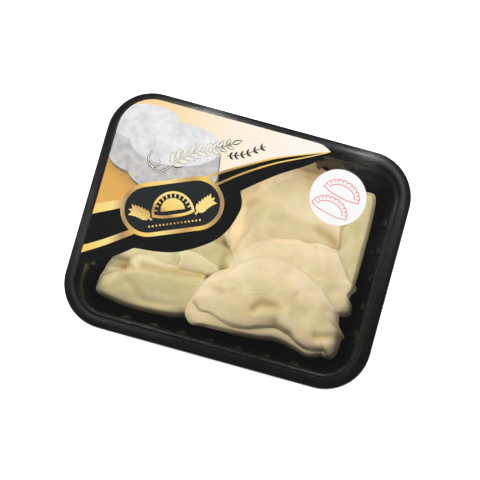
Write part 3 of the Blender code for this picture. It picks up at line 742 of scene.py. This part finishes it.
def boiled_dough(name, rim_colour, belly_colour):
    """Moist dough: paler where it is thin and pressed, yellower over the filling, a little see-through."""
    made, tree, shader = new_material(name, belly_colour, 0.4)
    filling = node(tree, "ShaderNodeAttribute", attribute_name="filling")
    place = node(tree, "ShaderNodeTexCoord")
    cloud = node(tree, "ShaderNodeTexNoise", Scale=55.0, Detail=3.0)
    share = node(tree, "ShaderNodeMath", operation="ADD")
    colour = node(tree, "ShaderNodeValToRGB")
    for stop, where, tint in zip(colour.color_ramp.elements, (0.25, 1.0), (rim_colour, belly_colour)):
        stop.position = where
        stop.color = (*tint, 1.0)
    # Painted shade: where ambient occlusion finds a crevice, and along the creases, the dough is painted
    # browner to stand in for the shade there; it is also made duller.
    crevice = node(tree, "ShaderNodeAmbientOcclusion", samples=6, Distance=6.0 * MM)
    depth = node(tree, "ShaderNodeMapRange", From_Min=0.78, From_Max=0.30)
    crease = node(tree, "ShaderNodeAttribute", attribute_name="crease")
    painted_shade_share = node(tree, "ShaderNodeMath", operation="MULTIPLY_ADD", use_clamp=True)
    painted_shade_share.inputs[1].default_value = 0.9
    painted_shade_colour = node(tree, "ShaderNodeMix", data_type="RGBA")
    painted_shade_colour.inputs["B"].default_value = PAINTED_CREVICE_SHADE
    dulled = node(tree, "ShaderNodeMath", operation="MULTIPLY_ADD", use_clamp=True)
    dulled.inputs[1].default_value = 0.5
    join(tree, (place, "Object", cloud, "Vector"))
    tree.links.new(ranged(tree, cloud.outputs["Fac"], -0.22, 0.50), share.inputs[0])
    tree.links.new(ranged(tree, cloud.outputs["Fac"], 0.3, 0.5), dulled.inputs[2])
    join(
        tree,
        (filling, "Fac", share, 1),
        (share, "Value", colour, "Fac"),
        (crevice, "AO", depth, "Value"),
        (crease, "Fac", painted_shade_share, 0),
        (depth, "Result", painted_shade_share, 2),
        (painted_shade_share, "Value", painted_shade_colour, "Factor"),
        (colour, "Color", painted_shade_colour, "A"),
        (painted_shade_colour, "Result", shader, "Base Color"),
        (painted_shade_share, "Value", dulled, 0),
        (dulled, "Value", shader, "Roughness"),
    )
    settle(shader, Subsurface_Weight=0.5, Subsurface_Radius=(1.0, 0.7, 0.35), Subsurface_Scale=1.2 * MM)
    settle(shader, Coat_Weight=0.25, Coat_Roughness=0.2)
    add_unevenness(tree, shader, 160.0, 900.0, 0.35, 0.3)
    return made


dough = boiled_dough("boiled_dough", (0.90, 0.735, 0.47), (0.76, 0.63, 0.345))
greener_dough = boiled_dough("greener_dough", (0.90, 0.775, 0.47), (0.72, 0.615, 0.325))
GREENER = ("pierog_lower_left", "pierog_left", "pierog_right")
pile = Pile()
for name, settings in PIEROGI.items():
    pierog = lay_pierog(Pierog(name, settings), pile, greener_dough if name in GREENER else dough)
    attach(pierog, "root")
    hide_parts(name)

# ---------------------------------------------------------------------------------------------- the film
# A clear lid film, welded to the flange all round. It is nearly invisible from above and only catches light
# at a low angle.

film_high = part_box("film")[1]
FILM_STEPS = 48
FILM_STEP = 1.45
FILM_CORNER_STEPS = 12
FILM_SINK = 0.1
FILM_WAVE = 0.05
FILM_WAVE_SIZE = 25.0


def clear_film():
    """Almost nothing when seen square on, and paler towards a low angle."""
    made, tree, shader = new_material("clear_film", (0.22, 0.23, 0.22), 0.08)
    edge = node(tree, "ShaderNodeLayerWeight", Blend=0.25)
    seen = node(tree, "ShaderNodeMapRange", To_Min=0.03, To_Max=0.5)
    join(tree, (edge, "Facing", seen, "Value"), (seen, "Result", shader, "Alpha"))
    add_unevenness(tree, shader, 30.0, 300.0, 0.1, 0.3)
    return made


film_rings = []
for step in range(FILM_STEPS):
    inset = (TRAY_LENGTH / 2 - film_high[0] / MM) + step * FILM_STEP
    half_x, half_y = TRAY_LENGTH / 2 - inset, TRAY_WIDTH / 2 - inset
    radius = max(TRAY_CORNER - inset, 0.5)
    ring = []
    for corner, (sign_x, sign_y) in enumerate(((1, 1), (-1, 1), (-1, -1), (1, -1))):
        for k in range(FILM_CORNER_STEPS + 1):
            angle = math.pi / 2 * (corner + k / FILM_CORNER_STEPS)
            x = sign_x * (half_x - radius) + radius * math.cos(angle)
            y = sign_y * (half_y - radius) + radius * math.sin(angle)
            ripple = FILM_WAVE * waves(x, y, FILM_WAVE_SIZE, 4)
            ring.append((x, y, film_high[2] / MM - FILM_SINK + ripple))
    film_rings.append(ring)
film_points = np.concatenate(film_rings)
ring_size = len(film_rings[0])
film_faces = grid_faces(FILM_STEPS, ring_size)
film_faces.append(tuple(range((FILM_STEPS - 1) * ring_size, FILM_STEPS * ring_size)))
film = mesh_object("lid_film", film_points, film_faces, clear_film())
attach(film, "root")
film.visible_shadow = False
film.visible_diffuse = False
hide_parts("film")

# --------------------------------------------------------------------------------------------- the label
# A printed film label, welded flat to the lid over its back left corner. A black sash with gold lines sweeps
# from the left edge up to a tip at the back, under a cream field with white cheeses and a sprig, and bulges
# in the middle round a gold ringed plaque.

# Each colour lies LAYER above the one before it, from the label's underside up.
LABEL_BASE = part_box("label")[0][2] / MM
LAYER = 0.019
LABEL_LEFT = -88.8
LABEL_BACK = 69.6
LABEL_CORNER = 21.5
LABEL_TIP = (39.8, 66.4)
LABEL_FREE_EDGE = (
    (LABEL_TIP, (31.0, 56.5), (12.0, 43.8), (-6.5, 28.7)),
    ((-6.5, 28.7), (-3.3, 17.5), (-11.5, -2.5), (-34.0, -17.5), (-59.0, -21.8)),
    ((-59.0, -21.8), (-71.0, -31.0), (LABEL_LEFT, -41.0)),
)
PLAQUE_CENTRE = (-43.5, 8.6)
PLAQUE_TURN = 23.0
PLAQUE_LENGTH, PLAQUE_WIDTH = 63.0, 33.0
RING_WIDTH = 2.5


def smooth_through(corners, steps=10):
    """Points of a smooth curve that passes through these corners."""
    padded = [corners[0], *corners, corners[-1]]
    points = []
    for a, b, c, d in zip(padded, padded[1:], padded[2:], padded[3:]):
        a, b, c, d = (np.array(corner, float) for corner in (a, b, c, d))
        for t in np.arange(steps) / steps:
            bend, twist = 2 * a - 5 * b + 4 * c - d, 3 * b - a - 3 * c + d
            points.append(0.5 * (2 * b + (c - a) * t + bend * t**2 + twist * t**3))
    return points + [np.array(corners[-1], float)]


def turned(points, centre, degrees):
    """Points about the origin, turned and moved to a centre."""
    cos, sin = math.cos(math.radians(degrees)), math.sin(math.radians(degrees))
    return [(centre[0] + x * cos - y * sin, centre[1] + x * sin + y * cos) for x, y in points]


def ellipse(centre, radius_x, radius_y, degrees=0.0, start=0.0, end=360.0, steps=64):
    """Points round an ellipse, or along part of it."""
    angles = [math.radians(start + (end - start) * k / steps) for k in range(steps + (end - start < 360.0))]
    return turned([(radius_x * math.cos(a), radius_y * math.sin(a)) for a in angles], centre, degrees)


def stadium(length, width, steps=24):
    """A pill shape about the origin."""
    reach = length / 2 - width / 2
    right_end = ellipse((reach, 0.0), width / 2, width / 2, 0.0, -90.0, 90.0, steps)
    return right_end + ellipse((-reach, 0.0), width / 2, width / 2, 0.0, 90.0, 270.0, steps)


def leaf(place, length, width, degrees, steps=8):
    """A grain or leaf that starts at a place and points away from it."""
    along = [k / steps for k in range(steps + 1)]
    edge = [(length * t, width / 2 * math.sin(math.pi * t**0.8)) for t in along]
    return turned(edge + [(x, -y) for x, y in reversed(edge[1:-1])], place, degrees)


def heading(line, k):
    """The way from one of a line's points to the next, in degrees."""
    (x, y), (next_x, next_y) = line[k], line[k + 1]
    return math.degrees(math.atan2(next_y - y, next_x - x))


def strip(points, widths, closed=False):
    """The two sides of a line as wide as stated: one width, or those at its start and end."""
    points = [np.array(point, float) for point in points]
    start, end = widths if isinstance(widths, tuple) else (widths, widths)
    left, right_side = [], []
    for i, point in enumerate(points):
        before = points[i - 1] if i or closed else point
        after = points[(i + 1) % len(points)] if i + 1 < len(points) or closed else point
        way = (after - before) / max(np.hypot(*(after - before)), 1e-9)
        half = (start + (end - start) * i / (len(points) - 1)) / 2
        left.append(point + half * np.array([-way[1], way[0]]))
        right_side.append(point - half * np.array([-way[1], way[0]]))
    return left, right_side


def clipped(points, fence):
    """The part of an outline inside a convex fence that runs anticlockwise."""
    points = [tuple(point) for point in points]
    for (ax, ay), (bx, by) in zip(fence, fence[1:] + fence[:1]):
        kept = []
        sides = [(bx - ax) * (y - ay) - (by - ay) * (x - ax) for x, y in points]
        for i, (point, side) in enumerate(zip(points, sides)):
            if side * sides[i - 1] < 0:
                t = sides[i - 1] / (sides[i - 1] - side)
                kept.append(tuple(p + (q - p) * t for p, q in zip(points[i - 1], point)))
            if side >= 0:
                kept.append(point)
        points = kept
    return points


class Print:
    """Flat fields and lines of one colour at one level, gathered into one mesh."""

    def __init__(self, name, node_name, slot, base, material, level):
        self.name, self.node_name, self.slot, self.material = name, node_name, slot, material
        self.height = base + LAYER * (level + 1)
        self.points, self.faces = [], []

    def field(self, outline):
        """Fills an outline."""
        start = len(self.points)
        self.points += [(x, y, self.height) for x, y in outline]
        self.faces.append(tuple(range(start, start + len(outline))))

    def line(self, points, widths, closed=False):
        """Draws a line of one width, or of a width at its start and another at its end."""
        left, right_side = strip(points, widths, closed)
        start, count = len(self.points), len(left)
        self.points += [(x, y, self.height) for x, y in left + right_side]
        for i in range(count if closed else count - 1):
            j = (i + 1) % count
            self.faces.append((start + i, start + j, start + count + j, start + count + i)[::-1])

    def done(self):
        """Makes the mesh, which stands for its CAD piece."""
        made = mesh_object(self.name, self.points, self.faces, self.material, smooth=False)
        made.visible_shadow = False
        made.visible_diffuse = False
        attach(made, "root")
        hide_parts(self.node_name)
        return made


def print_material(name, colours, size=8.0, grain=500.0, roughness=0.45, shine=0.3):
    """An ink that drifts between two colours over a length in millimetres, with a fine grain."""
    made, tree, shader = new_material(name, colours[0], roughness)
    place = node(tree, "ShaderNodeTexCoord")
    drift = node(tree, "ShaderNodeTexNoise", Scale=1000.0 / size, Detail=2.0)
    mixed = node(tree, "ShaderNodeMix", data_type="RGBA")
    mixed.inputs["A"].default_value = (*colours[0], 1.0)
    mixed.inputs["B"].default_value = (*colours[1], 1.0)
    tree.links.new(ranged(tree, drift.outputs["Fac"], 0.0, 1.0), mixed.inputs["Factor"])
    join(tree, (place, "Object", drift, "Vector"), (mixed, "Result", shader, "Base Color"))
    shader.inputs["Specular IOR Level"].default_value = shine
    add_unevenness(tree, shader, 40.0, grain, 0.2, 0.05, 0.2)
    return made


def gradient_material(name, across, stops):
    """An ink whose colour changes along a line between two places, with stops of (share, colour)."""
    made, tree, shader = new_material(name, stops[0][1], 0.45)
    (ax, ay), (bx, by) = across
    square = (bx - ax) ** 2 + (by - ay) ** 2
    place = node(tree, "ShaderNodeTexCoord")
    along = node(tree, "ShaderNodeVectorMath", operation="DOT_PRODUCT")
    along.inputs[1].default_value = ((bx - ax) / square / MM, (by - ay) / square / MM, 0.0)
    shifted = node(tree, "ShaderNodeMath", operation="SUBTRACT")
    shifted.inputs[1].default_value = (ax * (bx - ax) + ay * (by - ay)) / square
    ramp = node(tree, "ShaderNodeValToRGB")
    ramp.color_ramp.elements.remove(ramp.color_ramp.elements[1])
    for k, (where, colour) in enumerate(stops):
        stop = ramp.color_ramp.elements.new(where) if k else ramp.color_ramp.elements[0]
        stop.position = where
        stop.color = (*colour, 1.0)
    join(
        tree,
        (place, "Object", along, 0),
        (along, "Value", shifted, 0),
        (shifted, "Value", ramp, "Fac"),
        (ramp, "Color", shader, "Base Color"),
    )
    shader.inputs["Specular IOR Level"].default_value = 0.3
    return made


BRIGHT_GOLD = (0.96, 0.63, 0.13)
PALE_GOLD = (0.97, 0.76, 0.27)
DEEP_GOLD = (0.62, 0.34, 0.10)
DUSKY_GOLD = (0.42, 0.25, 0.12)
black_ink = print_material("black_print", ((0.004, 0.005, 0.0045), (0.006, 0.007, 0.0065)), 30.0, shine=0.15)
plaque_ink = print_material("plaque_print", ((0.014, 0.018, 0.018), (0.020, 0.024, 0.025)), 30.0, shine=0.15)
cream_ink = gradient_material(
    "cream_print",
    ((-68.0, 60.0), (20.0, 66.0)),
    (
        (0.0, (0.96, 0.66, 0.32)), (0.25, (0.97, 0.78, 0.52)),
        (0.55, (0.99, 0.88, 0.72)), (1.0, (1.0, 0.93, 0.84)),
    ),
)
orange_ink = gradient_material(
    "orange_print",
    ((-74.0, 26.0), (-86.0, 0.0)),
    ((0.0, (0.40, 0.19, 0.05)), (0.4, (0.72, 0.40, 0.09)), (1.0, (0.80, 0.44, 0.10))),
)
gold_ink = gradient_material(
    "gold_print",
    ((-92.0, 0.0), (40.0, 20.0)),
    (
        (0.0, BRIGHT_GOLD), (0.10, PALE_GOLD), (0.16, DUSKY_GOLD), (0.24, BRIGHT_GOLD),
        (0.34, PALE_GOLD), (0.44, DEEP_GOLD), (0.50, BRIGHT_GOLD), (0.58, DUSKY_GOLD),
        (0.64, DEEP_GOLD), (0.80, BRIGHT_GOLD), (1.0, PALE_GOLD),
    ),
)
leaf_gold_ink = gradient_material(
    "leaf_gold_print",
    ((-56.0, -6.0), (-50.0, 16.0)),
    ((0.0, PALE_GOLD), (0.35, DEEP_GOLD), (0.5, DUSKY_GOLD), (0.62, BRIGHT_GOLD), (1.0, PALE_GOLD)),
)
cheese_top_ink = print_material("cheese_top_print", ((0.66, 0.66, 0.68), (0.88, 0.88, 0.88)), 7.0)
cheese_side_ink = print_material("cheese_side_print", ((0.46, 0.45, 0.44), (0.66, 0.65, 0.64)), 5.0)
cheese_gap_ink = print_material("cheese_gap_print", ((0.20, 0.15, 0.10), (0.28, 0.21, 0.13)), 6.0)
dark_line_ink = print_material("dark_line_print", ((0.020, 0.020, 0.012), (0.03, 0.03, 0.02)), 6.0)
pale_line_ink = print_material("pale_line_print", ((0.88, 0.84, 0.66), (0.92, 0.88, 0.72)), 6.0)

free_edge = []
for stretch in LABEL_FREE_EDGE:
    free_edge += smooth_through(stretch)[:-1]
free_edge.append(np.array(LABEL_FREE_EDGE[-1][-1]))
corner_centre = (LABEL_LEFT + LABEL_CORNER, LABEL_BACK - LABEL_CORNER)
held_edge = ellipse(corner_centre, LABEL_CORNER, LABEL_CORNER, 0.0, 180.0, 90.0, 16)
held_edge += [(31.0, LABEL_BACK), (34.0, 69.3), (36.6, 68.3), (38.6, 67.2)]
label_outline = [tuple(point) for point in free_edge] + held_edge
corner_fence = [(LABEL_LEFT, -60.0), (31.0, -60.0)] + held_edge[-4::-1]


def label_print(name, material, level, *outlines):
    """A colour of the label on one of its levels, finished when its outlines are given."""
    made = Print(name, "label", "label_print", LABEL_BASE, material, level)
    for outline in outlines:
        made.field(outline)
    if outlines:
        made.done()
    return made


label_print("label_sash", black_ink, 0, label_outline)

# The pale fields: cream at the back, orange at the left, both ending at the upper gold line.
UPPER_LINE = (
    (((LABEL_LEFT, -5.2), (-76.0, 1.0), (-60.0, 10.0)), (6.4, 4.6)),
    (
        ((-40.0, 24.0), (-29.0, 31.0), (-20.0, 37.0), (-9.0, 43.8), (8.0, 53.4), (24.0, 60.2), LABEL_TIP),
        (1.9, 0.5),
    ),
)
LOWER_LINE = (
    (((LABEL_LEFT, -30.4), (-77.0, -23.0), (-62.0, -12.0)), (4.6, 3.4)),
    (((-26.0, 24.0), (-19.5, 30.2), (-6.0, 40.8), (10.0, 51.0), (26.0, 59.0), (38.6, 65.6)), (1.5, 0.5)),
)
upper_line = [tuple(point) for part, _ in UPPER_LINE for point in smooth_through(part)]
label_print("label_cream_field", cream_ink, 1, upper_line + held_edge[::-1])
ORANGE_FIELD = (
    (LABEL_LEFT, -5.0), (-76.0, 1.0), (-60.0, 10.0), (-44.0, 21.0),
    (-50.0, 30.0), (-66.0, 33.0), (LABEL_LEFT, 34.0),
)
label_print("label_orange_field", orange_ink, 2, clipped(ORANGE_FIELD, corner_fence))

# White cheeses, the nearer one over the farther: each is a low round with a lighter top, given by its centre,
# its top's two radii, its thickness and its tilt.
CHEESES = (((-73.0, 54.0), 21.0, 11.5, 20.0, 12.0), ((-52.0, 46.0), 27.5, 13.5, 17.0, 9.0))
for k, (centre, radius_x, radius_y, thickness, tilt) in enumerate(CHEESES):
    top_edge = ellipse(centre, radius_x, radius_y, tilt)
    lower_half = ellipse(centre, radius_x, radius_y, tilt, 180.0, 360.0, 32)
    down = turned([(0.0, -thickness)], (0.0, 0.0), tilt)[0]
    side = lower_half + [(x + down[0], y + down[1]) for x, y in reversed(lower_half)]
    gap = [(x + 1.0, y - 1.8) for x, y in side]
    parts = (("gap", gap, cheese_gap_ink), ("side", side, cheese_side_ink), ("top", top_edge, cheese_top_ink))
    for level, (part, outline, ink) in enumerate(parts, start=3 + k):
        label_print(f"label_cheese_{k}_{part}", ink, level, clipped(outline, corner_fence))

# A sprig of wheat in pale ink with a dark outline, and a plain twig after it.
SPRIG = (
    (-64.0, 30.0), (-58.0, 27.0), (-53.0, 30.0), (-47.0, 38.0), (-38.0, 45.0), (-28.0, 49.5), (-19.0, 55.0)
)
CURL_CENTRE = (-60.0, 33.0)
CURL_RADIUS, CURL_TIGHTENING = 6.5, 1.1
CURL_START = 2.2
GRAINS, FIRST_GRAIN = 9, 24
TWIG = ((-20.0, 47.0), (-10.0, 51.0), (1.0, 59.0))
sprig_dark = label_print("label_sprig_outline", dark_line_ink, 6)
sprig_pale = label_print("label_sprig", pale_line_ink, 7)
stem = smooth_through(SPRIG)
sprig_dark.line(stem, (1.5, 0.9))
sprig_pale.line(stem, (0.6, 0.3))
curl = []
for angle in np.arange(0.0, 5.2, 0.15)[::-1]:
    reach = CURL_RADIUS - CURL_TIGHTENING * angle
    x, y = reach * math.cos(angle + CURL_START), reach * math.sin(angle + CURL_START)
    curl.append((CURL_CENTRE[0] + x, CURL_CENTRE[1] + y))
sprig_dark.line(curl, (0.7, 1.5))
sprig_pale.line(curl, (0.2, 0.6))
for k in range(GRAINS):
    at = FIRST_GRAIN + 4 * k
    size = 1.0 - 0.045 * k
    for lean in (-42.0, 42.0):
        way = heading(stem, at) + lean
        sprig_dark.field(leaf(stem[at], 8.6 * size, 3.7 * size, way))
        start = turned([(0.7, 0.0)], stem[at], way)[0]
        sprig_pale.field(leaf(start, 7.2 * size, 2.2 * size, way))
x, y = stem[-1]
sprig_dark.field(leaf((x, y), 7.0, 3.0, 35.0))
sprig_pale.field(leaf((x + 0.5, y + 0.3), 5.8, 1.7, 35.0))
twig = smooth_through(TWIG)
sprig_dark.line(twig, 0.5)
for k in range(2, 20, 3):
    for lean in (-48.0, 48.0):
        sprig_dark.field(leaf(twig[k], 3.4, 1.3, heading(twig, k) + lean))
sprig_dark.done()
sprig_pale.done()

gold = label_print("label_gold_lines", gold_ink, 6)
for points, widths in (UPPER_LINE[1], LOWER_LINE[1]):
    gold.line(smooth_through(points), widths)
for points, widths in (UPPER_LINE[0], LOWER_LINE[0]):
    left, right_side = strip(smooth_through(((LABEL_LEFT - 4.0, points[0][1] - 2.2), *points)), widths)
    gold.field(clipped(right_side + left[::-1], corner_fence))
gold.done()


# The plaque: a gold ring round two ears of wheat and a folded dumpling, over a row of dots.
def on_plaque(points):
    """Points about the plaque's middle, placed on the label."""
    return turned(points, PLAQUE_CENTRE, PLAQUE_TURN)


label_print("label_plaque", plaque_ink, 7, on_plaque(stadium(PLAQUE_LENGTH, PLAQUE_WIDTH)))
ring = label_print("label_plaque_ring", gold_ink, 8)
ring.line(on_plaque(stadium(PLAQUE_LENGTH - RING_WIDTH, PLAQUE_WIDTH - RING_WIDTH)), RING_WIDTH, closed=True)
ring.done()
emblem = label_print("label_emblem", leaf_gold_ink, 8)
for side in (-1, 1):
    ear = [(side * (13.2 + 9.0 * t), -6.5 + 9.0 * t - 2.5 * t * t) for t in np.linspace(0.0, 1.0, 13)]
    emblem.line(on_plaque(ear), (1.3, 0.6))
    for k in range(2, 13, 2):
        for lean in (-44.0, 44.0):
            emblem.field(on_plaque(leaf(ear[k], 5.2, 2.0, heading(ear, k - 1) + lean)))
    emblem.field(on_plaque(leaf(ear[-1], 4.6, 2.0, heading(ear, 11))))
emblem.line(on_plaque(ellipse((0.0, -4.0), 12.2, 12.6, 0.0, 0.0, 180.0, 36)), 1.5)
emblem.line(on_plaque(smooth_through([(-12.9, -4.0), (-6.0, -5.6), (6.0, -5.6), (12.9, -4.0)])), 1.8)
emblem.field(on_plaque(ellipse((0.0, -2.4), 7.4, 7.6, 0.0, 0.0, 180.0, 24)))
for bearing in np.radians(range(15, 180, 15)):
    tick = [(r * math.cos(bearing), r * 1.03 * math.sin(bearing) - 4.0) for r in (9.4, 12.0)]
    emblem.line(on_plaque(tick), 0.8)
for k in range(-7, 8):
    emblem.field(on_plaque(ellipse((2.2 * k, -10.3), 0.6, 0.6, steps=12)))
emblem.done()

# ------------------------------------------------------------------------------------------- the sticker
# A round of white paper, stuck on the film over the back right corner, with two folded dumplings drawn on
# it in a thin coral line.

STICKER_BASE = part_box("sticker")[0][2] / MM
STICKER_CENTRE = (51.4, 40.7)
STICKER_RADIUS = 17.2
STICKER_TURN = -13.0
DRAWN_LENGTH, DRAWN_HEIGHT = 11.4, 8.6
sticker_paper = print_material("sticker_paper", ((0.985, 0.985, 0.985), (1.0, 1.0, 1.0)), 12.0, 900.0, 0.6)
coral_ink = print_material("coral_print", ((0.80, 0.17, 0.17), (0.84, 0.22, 0.22)), 5.0)

disc = Print("sticker_disc", "sticker", "sticker_white", STICKER_BASE, sticker_paper, 0)
disc.field(ellipse(STICKER_CENTRE, STICKER_RADIUS, STICKER_RADIUS, steps=120))
disc.done()
drawing = Print("sticker_drawing", "sticker", "sticker_white", STICKER_BASE, coral_ink, 1)
for offset_x, offset_y in ((1.0, 2.2), (-1.0, -10.0)):
    arc = ellipse((offset_x, offset_y), DRAWN_LENGTH, DRAWN_HEIGHT, 0.0, 0.0, 180.0, 36)
    rim = [(x + 0.25 * math.cos(k * 1.7), y + 0.45 * math.sin(k * 1.7)) for k, (x, y) in enumerate(arc)]
    belly = ellipse((offset_x, offset_y + 0.2), 8.4, 5.6, 0.0, 8.0, 172.0, 30)
    fold = ((-DRAWN_LENGTH, 0.0), (-6.0, -1.4), (5.0, -1.5), (DRAWN_LENGTH, 0.0))
    fold = [(offset_x + x, offset_y + y) for x, y in fold]
    for points in (rim, belly, smooth_through(fold)):
        drawing.line(turned(points, STICKER_CENTRE, STICKER_TURN), 0.55)
    for bearing in np.radians(range(15, 180, 15)):
        x, y = DRAWN_LENGTH * math.cos(bearing), DRAWN_HEIGHT * math.sin(bearing)
        tick = [(offset_x + x * share, offset_y + y * share) for share in (0.82, 0.97)]
        drawing.line(turned(tick, STICKER_CENTRE, STICKER_TURN), 0.45)
drawing.done()
